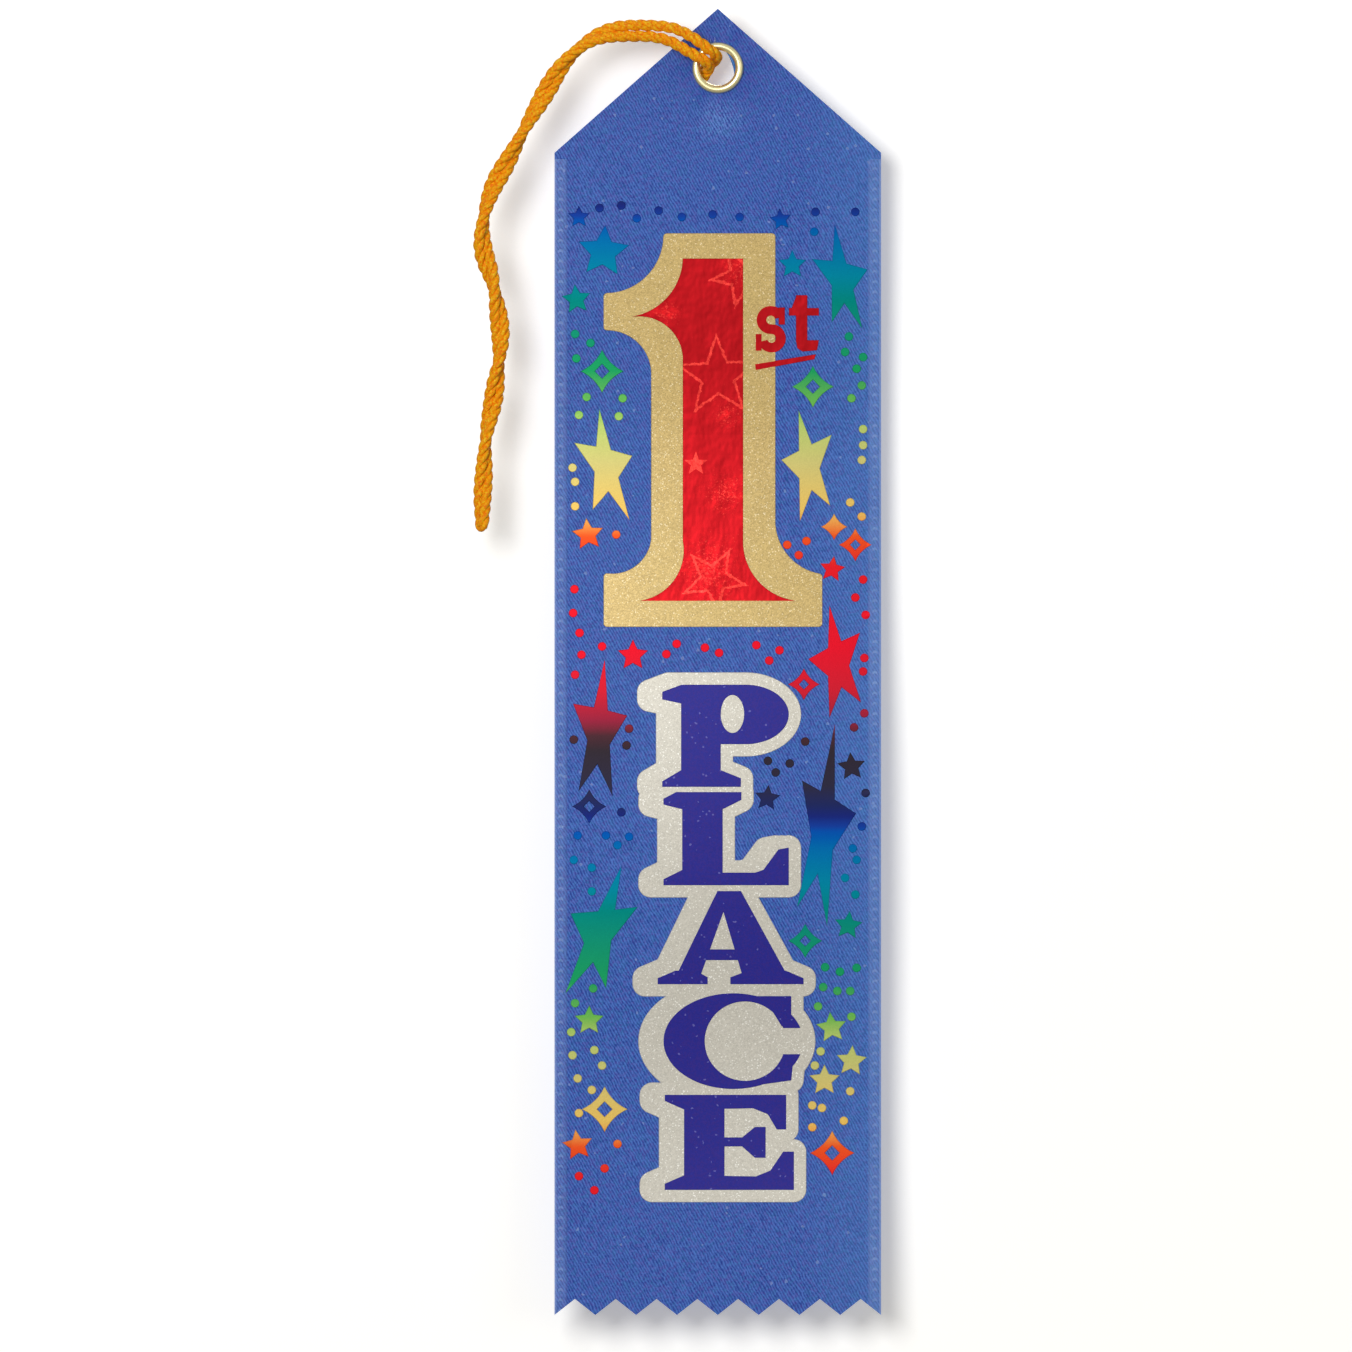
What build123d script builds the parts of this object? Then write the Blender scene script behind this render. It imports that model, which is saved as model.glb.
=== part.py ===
"""Award ribbon: a pointed satin strip with foil print, a brass eyelet and a knotted cord loop.

Frame: the origin is the centre of the eyelet, halfway through the cloth. +Z is up, along the strip
towards its point; the printed face looks towards -Y; +X is to the right of somebody facing the print.
All sizes are in millimetres.
"""

import os
from math import cos, pi, radians, sin, tan

from build123d import *

# ---------------------------------------------------------------- driving dimensions
strip_width = 50.8            # a 2 inch ribbon
strip_length = 203.2          # 8 inches from point to tooth tips
cloth = 0.30                  # satin, stiffened
point_height = 22.4           # how far the point rises above the corners
eyelet_below_point = 9.2
tooth_count = 8
tooth_depth = 2.5

bore_radius = 2.75            # clear hole through the eyelet
brass = 0.24                  # sheet that the eyelet and washer are pressed from
rim_roll_radius = 0.505       # middle line of the rolled front rim
washer_outer_radius = 4.1

glitter_print = 0.08          # first printed layer: borders, stars and dots
foil_print = 0.05             # second layer, on the borders
dot_radius = 0.6

leg_diameter = 1.7            # one leg of the cord
loop_diameter = 2.9           # its two legs twisted together
knot_length = 7.0
knot_width = 5.6

# ---------------------------------------------------------------- worked-out places
point_z = eyelet_below_point
corner_z = point_z - point_height
tip_z = point_z - strip_length
half_width = strip_width / 2
tooth_pitch = strip_width / tooth_count
face = Plane.XZ.offset(cloth / 2)                    # front of the cloth, looking towards -Y
second_layer = face.offset(glitter_print)

os.makedirs("parts", exist_ok=True)
pieces = []


def finish(part, name):
    """Label one finished piece and write it."""
    part.label = name
    export_step(part, f"parts/{name}.step")
    pieces.append(part)


# ---------------------------------------------------------------- the cloth and its eyelet
def zigzag_points():
    """Pinked bottom edge, right to left: every second point is a valley."""
    steps = 2 * tooth_count
    return [
        (half_width - k * tooth_pitch / 2, tip_z + (tooth_depth if k % 2 else 0))
        for k in range(steps + 1)
    ]


with BuildPart() as satin_ribbon:
    with BuildSketch(Plane.XZ.offset(-cloth / 2)):
        with BuildLine():
            Polyline(
                (-half_width, corner_z), (0, point_z), (half_width, corner_z), *zigzag_points(), close=True
            )
        make_face()
        Circle(bore_radius + brass + 0.01, mode=Mode.SUBTRACT)
    extrude(amount=cloth)
finish(satin_ribbon.part, "satin_ribbon")

barrel_line = bore_radius + brass / 2                # middle of the barrel's wall
rim_line = barrel_line + rim_roll_radius
rim_y = -cloth / 2 - brass / 2 - 0.015
back_roll_y = 0.42
back_roll_radius = 0.33

with BuildPart() as eyelet:
    with BuildSketch(Plane.XY):
        with BuildLine():
            Line((rim_line + rim_roll_radius, -cloth / 2 - 0.005), (rim_line + rim_roll_radius, rim_y))
            ThreePointArc(
                (rim_line + rim_roll_radius, rim_y),
                (rim_line, rim_y - rim_roll_radius),
                (barrel_line, rim_y),
            )
            Line((barrel_line, rim_y), (barrel_line, back_roll_y))
            RadiusArc(
                (barrel_line, back_roll_y),
                (barrel_line + back_roll_radius, back_roll_y + back_roll_radius),
                back_roll_radius,
            )
        trace(line_width=brass)
    revolve(axis=Axis.Y)
finish(eyelet.part, "eyelet")

with BuildPart() as eyelet_washer:
    with BuildSketch(Plane.XY):
        with BuildLine():
            Line((barrel_line + brass, cloth / 2 + 0.32), (washer_outer_radius, cloth / 2 + 0.13))
        trace(line_width=brass - 0.02)
    revolve(axis=Axis.Y)
finish(eyelet_washer.part, "eyelet_washer")


# ---------------------------------------------------------------- flat shapes used by the print
def bar(left, bottom, right, top):
    """A rectangle given by its corners, added to the open sketch."""
    with Locations(((left + right) / 2, (bottom + top) / 2)):
        Rectangle(right - left, top - bottom)


def patch(*points):
    """A polygon, added to the open sketch."""
    Polygon(*points, align=None)


def star_corners(tips, waist):
    """Outline of a five-pointed star: a corner between each two tips, pulled in to the waist."""
    middle_x = sum(x for x, z in tips) / len(tips)
    middle_z = sum(z for x, z in tips) / len(tips)
    corners = []
    for k, (x, z) in enumerate(tips):
        next_x, next_z = tips[(k + 1) % len(tips)]
        corners.append((x, z))
        corners.append((
            middle_x + waist * ((x + next_x) / 2 - middle_x),
            middle_z + waist * ((z + next_z) / 2 - middle_z),
        ))
    return corners


def round_tips(x, z, radius, turn):
    """Five tips evenly round a circle, the first one at the top before it is turned."""
    angles = [radians(90 + turn - 72 * k) for k in range(5)]
    return [(x + radius * cos(a), z + radius * sin(a)) for a in angles]


def sparkle_outline(x, z, radius):
    """Four-pointed sparkle with hollow sides."""
    hollow = 0.41 * radius
    tips = [(x, z + radius), (x + radius, z), (x, z - radius), (x - radius, z)]
    dips = [
        (x + hollow, z + hollow), (x + hollow, z - hollow),
        (x - hollow, z - hollow), (x - hollow, z + hollow),
    ]
    with BuildLine() as outline:
        for k in range(4):
            ThreePointArc(tips[k], dips[k], tips[(k + 1) % 4])
    make_face(outline.edges())


# ---------------------------------------------------------------- the numeral and its border
with BuildPart() as numeral_border:
    with BuildSketch(face) as border_outline:
        with BuildLine():
            Line((8.9, -25.8), (-8.4, -25.8))
            ThreePointArc((-8.4, -25.8), (-10.9, -32.3), (-17.7, -35.1))
            Line((-17.7, -35.1), (-17.7, -40.8))
            ThreePointArc((-17.7, -40.8), (-12.2, -42.9), (-10.3, -48.0))
            Line((-10.3, -48.0), (-10.3, -73.2))
            ThreePointArc((-10.3, -73.2), (-12.0, -76.9), (-17.7, -78.6))
            Line((-17.7, -78.6), (-17.7, -86.9))
            Line((-17.7, -86.9), (16.2, -86.9))
            Line((16.2, -86.9), (16.2, -78.8))
            ThreePointArc((16.2, -78.8), (10.9, -75.9), (8.9, -70.0))
            Line((8.9, -70.0), (8.9, -25.8))
        make_face()
        fillet(border_outline.vertices(), 0.5)
    extrude(amount=glitter_print)
finish(numeral_border.part, "numeral_border")

with BuildPart() as numeral:
    with BuildSketch(second_layer):
        with BuildLine():
            Line((3.9, -29.7), (-5.4, -29.7))
            ThreePointArc((-5.4, -29.7), (-7.4, -35.2), (-13.2, -38.7))
            ThreePointArc((-13.2, -38.7), (-7.4, -40.6), (-5.4, -45.8))
            Line((-5.4, -45.8), (-5.4, -73.6))
            ThreePointArc((-5.4, -73.6), (-7.0, -80.0), (-12.0, -82.9))
            Line((-12.0, -82.9), (12.0, -82.9))
            ThreePointArc((12.0, -82.9), (6.3, -79.9), (3.9, -74.2))
            Line((3.9, -74.2), (3.9, -29.7))
        make_face()
    extrude(amount=foil_print)
finish(numeral.part, "numeral")

# The suffix lies half on the border and half on the cloth, so the border is cut out of it.
suffix_height = glitter_print + foil_print

with BuildPart() as suffix_s:
    with BuildSketch(face):
        with BuildLine():
            ThreePointArc((9.6, -38.8), (6.8, -39.3), (8.3, -40.65))
            ThreePointArc((8.3, -40.65), (9.8, -42.1), (7.0, -42.5))
        trace(line_width=1.5)
        bar(9.5, -39.9, 10.4, -37.3)
        bar(5.9, -44.0, 6.8, -41.4)
    extrude(amount=suffix_height)
    add(numeral_border.part, mode=Mode.SUBTRACT)
finish(suffix_s.part, "suffix_s")

with BuildPart() as suffix_t:
    with BuildSketch(face):
        bar(12.2, -42.6, 13.9, -35.4)
        bar(11.1, -38.5, 15.7, -37.4)
        patch((12.2, -42.4), (15.7, -42.4), (15.4, -43.9), (13.2, -44.1), (12.4, -43.6))
        patch((11.1, -38.4), (12.3, -35.4), (12.3, -38.4))
    extrude(amount=suffix_height)
finish(suffix_t.part, "suffix_t")

with BuildPart() as suffix_underline:
    with BuildSketch(face):
        patch((5.8, -46.1), (15.2, -44.6), (15.0, -45.3), (5.9, -47.0))
    extrude(amount=suffix_height)
    add(numeral_border.part, mode=Mode.SUBTRACT)
finish(suffix_underline.part, "suffix_underline")


# ---------------------------------------------------------------- the stacked letters
def block(left, bottom, right, top):
    """Corners of an upright rectangle."""
    return [(left, bottom), (right, bottom), (right, top), (left, top)]


# A letter fills a cell: left, bottom, width, height. Its shapes are in fractions of that cell. Strokes are
# polygons, rounds are ellipses (middle x, middle z, half width, half height), holes and cuts are taken out
# of both, and serifs are polygons added last.
letters = {
    "letter_p": {
        "cell": (-8.6, -111.8, 19.6, 15.8),
        "strokes": [
            block(0.15, 0.0, 0.46, 1.0),
            block(0.40, 0.42, 0.66, 1.0),
            [(0.0, 0.0), (0.62, 0.0), (0.62, 0.08), (0.46, 0.16), (0.15, 0.16), (0.0, 0.05)],
            [(0.0, 0.86), (0.15, 0.82), (0.5, 0.82), (0.5, 1.0), (0.15, 1.0), (0.0, 0.93)],
        ],
        "rounds": [(0.66, 0.71, 0.34, 0.29)],
        "holes": [(0.555, 0.715, 0.095, 0.19)],
        "cuts": [],
        "serifs": [],
    },
    "letter_l": {
        "cell": (-8.4, -127.1, 19.4, 14.4),
        "strokes": [
            block(0.15, 0.0, 0.47, 1.0),
            block(0.3, 0.0, 1.0, 0.13),
            [(0.0, 0.87), (0.15, 0.82), (0.47, 0.82), (0.62, 0.92), (0.62, 1.0), (0.1, 1.0), (0.0, 0.93)],
            [(0.0, 0.0), (0.4, 0.0), (0.4, 0.16), (0.15, 0.16), (0.0, 0.06)],
            [(0.62, 0.08), (0.80, 0.16), (0.92, 0.38), (1.0, 0.40), (1.0, 0.0), (0.62, 0.0)],
        ],
        "rounds": [],
        "holes": [],
        "cuts": [],
        "serifs": [],
    },
    "letter_a": {
        "cell": (-9.3, -142.5, 22.6, 14.4),
        "strokes": [
            [(0.41, 1.0), (0.57, 1.0), (0.92, 0.0), (0.60, 0.0)],
            [(0.41, 1.0), (0.50, 1.0), (0.27, 0.0), (0.10, 0.0)],
            block(0.24, 0.26, 0.66, 0.37),
            [(0.0, 0.0), (0.34, 0.0), (0.34, 0.07), (0.26, 0.14), (0.12, 0.14), (0.0, 0.06)],
            [(0.5, 0.0), (1.0, 0.0), (1.0, 0.06), (0.88, 0.14), (0.62, 0.14), (0.5, 0.07)],
        ],
        "rounds": [],
        "holes": [],
        "cuts": [],
        "serifs": [],
    },
    "letter_c": {
        "cell": (-8.4, -158.8, 20.4, 14.8),
        "strokes": [],
        "rounds": [(0.53, 0.5, 0.53, 0.5)],
        "holes": [(0.62, 0.5, 0.31, 0.42)],
        "cuts": [block(0.72, 0.36, 1.1, 0.64)],
        "serifs": [
            [(0.70, 0.97), (0.97, 0.97), (0.97, 0.66), (0.90, 0.66), (0.82, 0.84)],
            [(0.66, 0.03), (0.97, 0.09), (0.99, 0.36), (0.92, 0.36), (0.82, 0.14)],
        ],
    },
    "letter_e": {
        "cell": (-8.2, -174.5, 20.0, 14.7),
        "strokes": [
            block(0.15, 0.0, 0.46, 1.0),
            [(0.0, 0.0), (1.0, 0.0), (1.0, 0.13), (0.15, 0.15), (0.0, 0.06)],
            [(0.0, 0.94), (0.15, 0.85), (0.94, 0.87), (0.94, 1.0), (0.0, 1.0)],
            [(0.62, 0.9), (0.94, 0.9), (0.94, 0.64), (0.87, 0.64), (0.80, 0.80)],
            [(0.64, 0.1), (1.0, 0.1), (1.0, 0.40), (0.92, 0.40), (0.82, 0.20)],
            [(0.40, 0.46), (0.60, 0.46), (0.70, 0.34), (0.78, 0.34)]
            + [(0.78, 0.66), (0.70, 0.66), (0.60, 0.55), (0.40, 0.55)],
        ],
        "rounds": [],
        "holes": [],
        "cuts": [],
        "serifs": [],
    },
}
border_round = 1.9            # how far the silver border stands out round each letter
border_shadow = 2.0           # and how much further to the left, as a drop shadow


def in_cell(cell, points):
    """Fractions of a cell as millimetres on the face."""
    left, bottom, width, height = cell
    return [(left + x * width, bottom + z * height) for x, z in points]


def ellipse(cell, round_shape, grow=0, mode=Mode.ADD):
    middle_x, middle_z, half_x, half_z = round_shape
    with Locations(*in_cell(cell, [(middle_x, middle_z)])):
        Ellipse(half_x * cell[2] + grow, half_z * cell[3] + grow, mode=mode)


def draw_letter(letter):
    """The letter's own face, added to the open sketch."""
    cell = letter["cell"]
    for stroke in letter["strokes"]:
        patch(*in_cell(cell, stroke))
    for shape in letter["rounds"]:
        ellipse(cell, shape)
    for hole in letter["holes"]:
        ellipse(cell, hole, mode=Mode.SUBTRACT)
    for cut in letter["cuts"]:
        Polygon(*in_cell(cell, cut), align=None, mode=Mode.SUBTRACT)
    for serif in letter["serifs"]:
        patch(*in_cell(cell, serif))


def draw_border(letter, grow, shift):
    """The letter filled in, grown all round and moved to one side, added to the open sketch."""
    left, bottom, width, height = letter["cell"]
    cell = (left + shift, bottom, width, height)
    for stroke in letter["strokes"] + letter["serifs"]:
        outline = Polygon(*in_cell(cell, stroke), align=None, mode=Mode.PRIVATE)
        offset(outline, amount=grow, kind=Kind.ARC, mode=Mode.ADD)
    for shape in letter["rounds"]:
        ellipse(cell, shape, grow=grow)


for name, letter in letters.items():
    with BuildPart() as letter_piece:
        with BuildSketch(second_layer):
            draw_letter(letter)
        extrude(amount=foil_print)
    finish(letter_piece.part, name)

with BuildPart() as letter_border:
    with BuildSketch(face):
        for letter in letters.values():
            for shift in (0, -border_shadow / 2, -border_shadow):
                draw_border(letter, border_round, shift)
    extrude(amount=glitter_print)
finish(letter_border.part, "letter_border")

# ---------------------------------------------------------------- stars, sparkles and dots
# Tips of the tall crooked stars: top, right, lower right, lower left, left.
crooked_star_tips = [
    [(18.2, -24.4), (23.2, -31.4), (22.4, -40.4), (17.8, -39.4), (14.8, -29.8)],
    [(-18.4, -53.2), (-13.4, -60.4), (-13.8, -70.2), (-19.4, -68.6), (-22.2, -58.4)],
    [(12.6, -53.4), (17.6, -57.2), (17.4, -68.0), (12.8, -70.4), (10.0, -61.0)],
    [(17.4, -83.8), (22.0, -88.0), (22.2, -98.6), (17.4, -101.0), (14.2, -92.0)],
    [(-17.6, -92.2), (-14.2, -100.8), (-16.4, -113.2), (-21.6, -112.4), (-22.4, -99.0)],
    [(18.2, -102.2), (21.4, -116.0), (17.0, -133.4), (12.4, -130.4), (13.2, -111.0)],
    [(-15.0, -124.2), (-12.6, -130.6), (-17.4, -143.0), (-23.6, -143.8), (-22.8, -131.6)],
]
crooked_waist = 0.50                # how far out the inner corners lie towards the line between two tips
small_waist = 0.60
# Small even stars: x, z, radius and how far each is turned.
small_star_places = [
    (-21.6, -23.2, 1.6, 0), (9.8, -23.6, 1.6, 8), (-17.8, -28.6, 4.0, -4), (-22.0, -36.0, 2.2, 6),
    (11.6, -30.6, 2.1, 0), (-20.2, -72.6, 2.4, 6), (17.8, -78.0, 1.9, -8), (-13.2, -91.4, 2.3, 0),
    (20.3, -133.4, 2.1, -6), (-20.0, -148.2, 2.2, 0), (17.7, -149.3, 2.3, 6), (20.8, -154.5, 2.3, -4),
    (16.6, -157.5, 2.3, 0), (-21.8, -167.6, 2.3, 8), (20.8, -108.7, 2.1, 5), (7.7, -113.6, 1.9, -6),
]
outlined_sparkle_places = [
    (-18.0, -47.2, 3.2), (14.8, -49.6, 3.1), (21.4, -74.2, 2.4), (13.4, -95.9, 2.3),
    (-20.0, -114.9, 2.5), (13.6, -135.8, 2.5), (-17.6, -162.0, 3.4), (17.8, -168.8, 3.3),
]
solid_sparkle_place = (18.1, -71.4, 1.9)
dot_places = [
    (-18.4, -21.8), (-15.0, -21.4), (-12.6, -23.4), (-9.2, -22.2), (-5.6, -23.2), (-0.8, -22.8),
    (3.4, -23.2), (15.2, -22.4), (21.4, -22.4), (-22.2, -41.4), (-19.8, -42.8), (-22.0, -45.2),
    (-20.4, -51.2), (-14.8, -51.4), (-21.6, -54.0), (-15.4, -54.2), (20.4, -41.8), (19.8, -44.2),
    (22.6, -45.0), (21.6, -46.8), (22.4, -49.4), (20.8, -51.4), (22.6, -56.2), (22.4, -61.0),
    (-22.6, -62.2), (-22.2, -64.4), (-22.2, -68.2), (-15.8, -72.6), (20.6, -67.6), (22.4, -69.8),
    (10.8, -74.2), (13.8, -73.6), (12.6, -75.8), (22.6, -79.6), (21.4, -82.4), (23.0, -85.1),
    (22.8, -91.8), (22.8, -100.4), (21.2, -102.6), (-21.5, -87.9), (-21.2, -91.3), (-18.0, -90.0),
    (-22.2, -94.4), (-8.0, -91.2), (-6.4, -89.6), (-2.0, -90.2), (0.2, -91.0), (6.0, -89.8),
    (9.6, -90.6), (8.0, -92.2), (-13.8, -102.8), (-14.2, -105.4), (13.6, -104.8), (7.8, -107.8),
    (11.2, -108.2), (9.0, -109.6), (23.0, -112.8), (-15.0, -115.8), (-17.4, -119.4), (-15.6, -120.9),
    (-22.4, -123.2), (-19.6, -124.4), (22.4, -118.0), (21.0, -121.4), (21.6, -123.2), (19.8, -126.0),
    (21.4, -128.6), (16.7, -139.9), (21.6, -140.0), (16.4, -143.0), (20.6, -143.6), (15.6, -146.0),
    (20.8, -147.6), (16.0, -153.0), (-22.2, -145.5), (-22.8, -150.0), (-19.2, -152.8), (-22.6, -153.6),
    (-18.0, -155.2), (-21.8, -157.2), (-19.6, -159.0), (-21.6, -162.6), (15.1, -155.2), (14.7, -161.4),
    (20.6, -159.2), (16.2, -161.8), (19.6, -163.8), (14.7, -164.8), (-15.6, -167.4), (-17.6, -171.2),
    (-21.6, -172.4), (-19.2, -174.6), (-22.3, -81.1), (-22.5, -84.8), (22.6, -93.9), (22.6, -58.7),
    (15.0, -25.5), (-21.8, -119.4), (-13.8, -119.6), (-19.6, -128.1), (-22.4, -104.5), (-19.4, -143.2),
    (19.0, -140.6), (18.6, -143.6),
]

with BuildPart() as crooked_stars:
    with BuildSketch(face):
        for tips in crooked_star_tips:
            patch(*star_corners(tips, crooked_waist))
    extrude(amount=glitter_print)
finish(crooked_stars.part, "crooked_stars")

with BuildPart() as small_stars:
    with BuildSketch(face):
        for x, z, radius, turn in small_star_places:
            patch(*star_corners(round_tips(x, z, radius, turn), small_waist))
    extrude(amount=glitter_print)
finish(small_stars.part, "small_stars")

with BuildPart() as solid_sparkle:
    with BuildSketch(face):
        sparkle_outline(*solid_sparkle_place)
    extrude(amount=glitter_print)
finish(solid_sparkle.part, "solid_sparkle")

with BuildPart() as outlined_sparkles:
    with BuildSketch(face):
        for x, z, radius in outlined_sparkle_places:
            sparkle_outline(x, z, radius)
            with Locations((x, z)):
                Rectangle(0.54 * radius, 0.54 * radius, rotation=45, mode=Mode.SUBTRACT)
    extrude(amount=glitter_print)
finish(outlined_sparkles.part, "outlined_sparkles")

with BuildPart() as foil_dots:
    with BuildSketch(face):
        with Locations(*dot_places):
            Circle(dot_radius)
    extrude(amount=glitter_print)
finish(foil_dots.part, "foil_dots")

# ---------------------------------------------------------------- the cord
# One cord, knotted end to end behind the cloth. Its two legs come forward through the eyelet, part
# round its rim, and then lie twisted together as a double cord, down to the fold at the far end.
loop_route = [
    (-11.2, -2.5, 5.8), (-16.8, -2.6, 6.0), (-22.8, -2.8, 2.6), (-27.5, -3.0, -4.8), (-31.8, -3.3, -12.8),
    (-36.0, -3.5, -20.4), (-37.0, -3.4, -27.0), (-34.6, -3.1, -34.5), (-33.6, -2.9, -42.0),
    (-34.6, -2.8, -50.0), (-36.2, -3.0, -58.0), (-36.5, -3.2, -65.0), (-36.7, -3.3, -70.8),
]
upper_leg_route = [
    (-11.13, -2.5, 6.67), (-7.6, -2.44, 6.55), (-3.9, -2.5, 4.9), (-0.15, -2.5, 2.0),
    (-0.15, 3.2, 1.3), (-3.6, 4.9, -1.6),
]
lower_leg_route = [
    (-11.19, -2.5, 4.93), (-8.3, -2.44, 4.7), (-4.1, -2.6, 2.3), (-1.3, -2.5, 0.75),
    (-1.45, 2.6, -0.5), (-3.7, 3.4, -3.2),
]


def bend_radii(points):
    """The radius of each corner: 0.45 of its shorter run over the tangent of half the turn."""
    corners = [Vector(*point) for point in points]
    radii = []
    for before, corner, after in zip(corners, corners[1:], corners[2:]):
        turn = (corner - before).get_angle(after - corner)
        shorter = min((corner - before).length, (after - corner).length)
        radii.append(0.45 * shorter / tan(radians(turn / 2)))
    return radii


def cord_tube(name, route, diameter):
    """Sweep a round section along the route's runs and tangent arcs, and check its volume."""
    radii = bend_radii(route)
    with BuildPart() as tube:
        with BuildLine() as path:
            FilletPolyline(*route, radius=radii)
        middle_line = path.wire()
        with BuildSketch(Plane(origin=middle_line @ 0, z_dir=middle_line % 0)):
            Circle(diameter / 2)
        sweep()
    expected = pi * diameter ** 2 / 4 * middle_line.length
    print(f"{name}: length {middle_line.length:.1f}, volume {tube.part.volume:.1f} against {expected:.1f}")
    print(f"  radii {[round(radius, 1) for radius in radii]}")
    finish(tube.part, name)


cord_tube("cord_loop", loop_route, loop_diameter)
cord_tube("cord_leg_upper", upper_leg_route, leg_diameter)
cord_tube("cord_leg_lower", lower_leg_route, leg_diameter)

knot_centre = (-6.3, 4.4, -3.4)
with BuildPart() as cord_knot:
    with BuildSketch(Plane.XZ.offset(-knot_centre[1])):
        with Locations((knot_centre[0], knot_centre[2])):
            Ellipse(knot_length / 2, knot_width / 2)
            with Locations((0, -knot_width / 2)):
                Rectangle(2 * knot_length, knot_width, mode=Mode.SUBTRACT)
    revolve(axis=Axis(knot_centre, (1, 0, 0)))
finish(cord_knot.part, "cord_knot")

for piece in pieces:
    print(f"{piece.label}: {len(piece.solids())} solids, {piece.volume:.2f} mm3")
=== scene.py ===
from math import atan2, ceil, cos, exp, hypot, pi, radians, sin

import bmesh
import bpy
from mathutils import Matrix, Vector


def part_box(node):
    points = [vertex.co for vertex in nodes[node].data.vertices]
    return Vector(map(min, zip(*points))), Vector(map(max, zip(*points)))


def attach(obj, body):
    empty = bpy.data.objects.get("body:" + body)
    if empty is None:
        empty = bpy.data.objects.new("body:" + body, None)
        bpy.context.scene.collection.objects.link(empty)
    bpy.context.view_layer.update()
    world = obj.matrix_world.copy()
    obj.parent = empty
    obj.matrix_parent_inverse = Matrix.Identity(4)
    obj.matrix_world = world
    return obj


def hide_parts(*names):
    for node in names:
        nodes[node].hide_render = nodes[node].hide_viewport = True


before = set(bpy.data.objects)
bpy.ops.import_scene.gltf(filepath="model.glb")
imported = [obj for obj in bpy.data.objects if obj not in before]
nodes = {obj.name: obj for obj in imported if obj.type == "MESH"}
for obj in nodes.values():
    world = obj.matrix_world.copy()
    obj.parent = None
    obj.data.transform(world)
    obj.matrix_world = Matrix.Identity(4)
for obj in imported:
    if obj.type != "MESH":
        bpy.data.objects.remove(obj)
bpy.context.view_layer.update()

# Everything is in metres unless a comment says mm. In the row frame the origin is the eyelet's centre,
# the print faces -Y and +Z is up.
MM = 0.001
cloth_low, cloth_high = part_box("satin_ribbon")
rim_low, rim_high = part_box("eyelet")
FRONT = cloth_low.y                                   # the printed face of the flat cloth
BACK = cloth_high.y
HALF_WIDTH = cloth_high.x
STRIP = cloth_high.z - cloth_low.z
RIM_RADIUS = rim_high.x
BORE_RADIUS = 2.75 * MM
PICTURE = 1.035 * STRIP                               # height and width of the camera's frame
AIM = Vector((-6.5 * MM, 0.0, (cloth_low.z + cloth_high.z) / 2 - 2.2 * MM))


# ---------------------------------------------------------------- small helpers
def link(obj):
    bpy.context.scene.collection.objects.link(obj)
    return obj


def mesh_object(name, vertices, faces, smooth=True):
    mesh = bpy.data.meshes.new(name)
    mesh.from_pydata(vertices, [], faces)
    mesh.update()
    mesh.polygons.foreach_set("use_smooth", [smooth] * len(mesh.polygons))
    return link(bpy.data.objects.new(name, mesh))


def smooth_step(start, end, value):
    """0 at the start, 1 at the end, eased between; the end may be the lower of the two."""
    t = min(1.0, max(0.0, (value - start) / (end - start)))
    return t * t * (3 - 2 * t)


# ---------------------------------------------------------------- camera
def make_camera():
    camera = link(bpy.data.objects.new("camera", bpy.data.cameras.new("camera")))
    camera.data.type = "ORTHO"
    camera.data.ortho_scale = PICTURE
    camera.location = AIM + Vector((0, -1.0, 0))
    camera.rotation_euler = (radians(90), 0, 0)
    bpy.context.scene.camera = camera


make_camera()

# ---------------------------------------------------------------- cord
# The routes have the same points as in part.py, in mm.
LOOP_ROUTE = [
    (-11.2, -2.5, 5.8), (-16.8, -2.6, 6.0), (-22.8, -2.8, 2.6), (-27.5, -3.0, -4.8), (-31.8, -3.3, -12.8),
    (-36.0, -3.5, -20.4), (-37.0, -3.4, -27.0), (-34.6, -3.1, -34.5), (-33.6, -2.9, -42.0),
    (-34.6, -2.8, -50.0), (-36.2, -3.0, -58.0), (-36.5, -3.2, -65.0), (-36.7, -3.3, -70.8),
]
UPPER_LEG_ROUTE = [
    (-11.13, -2.5, 6.67), (-7.6, -2.44, 6.55), (-3.9, -2.5, 4.9), (-0.15, -2.5, 2.0),
    (-0.15, 3.2, 1.3), (-3.6, 4.9, -1.6),
]
LOWER_LEG_ROUTE = [
    (-11.19, -2.5, 4.93), (-8.3, -2.44, 4.7), (-4.1, -2.6, 2.3), (-1.3, -2.5, 0.75),
    (-1.45, 2.6, -0.5), (-3.7, 3.4, -3.2),
]


def read_spline(route, steps=24):
    """Points along the smooth NURBS line that has the route as its control points."""
    curve = bpy.data.curves.new("route", "CURVE")
    curve.dimensions = "3D"
    spline = curve.splines.new("NURBS")
    spline.points.add(len(route) - 1)
    for point, place in zip(spline.points, route):
        point.co = (place[0] * MM, place[1] * MM, place[2] * MM, 1.0)
    spline.order_u = 3
    spline.use_endpoint_u = True
    spline.resolution_u = steps
    holder = bpy.data.objects.new("route", curve)
    mesh = bpy.data.meshes.new_from_object(holder)
    points = [vertex.co.copy() for vertex in mesh.vertices]
    bpy.data.objects.remove(holder)
    bpy.data.curves.remove(curve)
    bpy.data.meshes.remove(mesh)
    return points


def distances(points):
    """How far along the line each point is."""
    along = [0.0]
    for before, after in zip(points, points[1:]):
        along.append(along[-1] + (after - before).length)
    return along


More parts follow.
